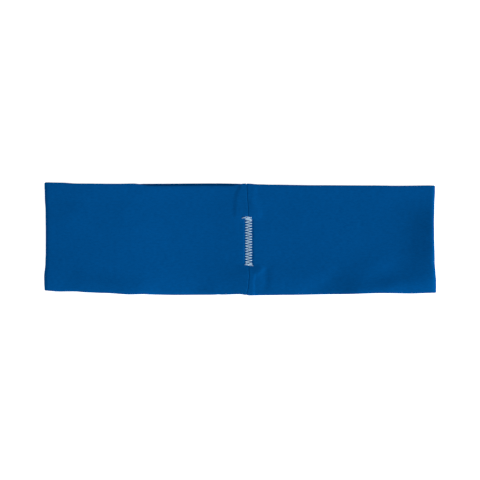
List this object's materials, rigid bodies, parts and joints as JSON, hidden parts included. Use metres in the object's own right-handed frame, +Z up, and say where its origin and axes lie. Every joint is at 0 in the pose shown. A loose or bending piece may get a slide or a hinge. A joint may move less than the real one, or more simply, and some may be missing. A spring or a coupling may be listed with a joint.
{
  "type": "sports headband",
  "caption": "Two-layer stretch-knit sports headband folded flat, with overlocked edges turned in and a back seam closed by a zigzag stitch.",
  "frame": {"origin": "on the table under the middle of the band's flat outline", "axes": "+X along the folded length towards the fold nearer the back seam, +Y across the band towards its upper edge, +Z up through the two halves to the side with the back seam"},
  "size_m": [0.24, 0.0676, 0.0097],
  "materials": {
    "face_fabric": "matt fine jersey knit, royal blue",
    "lining_fabric": "matt fine jersey knit, royal blue",
    "seam_thread": "soft polyester overlock thread, blue",
    "closing_thread": "white plied polyester thread, slight sheen"
  },
  "bodies": {
    "root": {"outer_panel": "face_fabric", "lining_panel": "lining_fabric", "top_edge_needle_thread": "seam_thread", "top_edge_upper_looper_thread": "seam_thread", "top_edge_lower_looper_thread": "seam_thread", "bottom_edge_needle_thread": "seam_thread", "bottom_edge_upper_looper_thread": "seam_thread", "bottom_edge_lower_looper_thread": "seam_thread", "face_back_seam_needle_thread": "seam_thread", "face_back_seam_bobbin_thread": "seam_thread", "lining_back_seam_needle_thread": "seam_thread", "lining_back_seam_bobbin_thread": "seam_thread", "zigzag_top_thread": "closing_thread", "zigzag_under_thread": "closing_thread", "start_lock_stitches": "closing_thread", "end_lock_stitches": "closing_thread", "thread_tail": "closing_thread"}
  },
  "joints": []
}
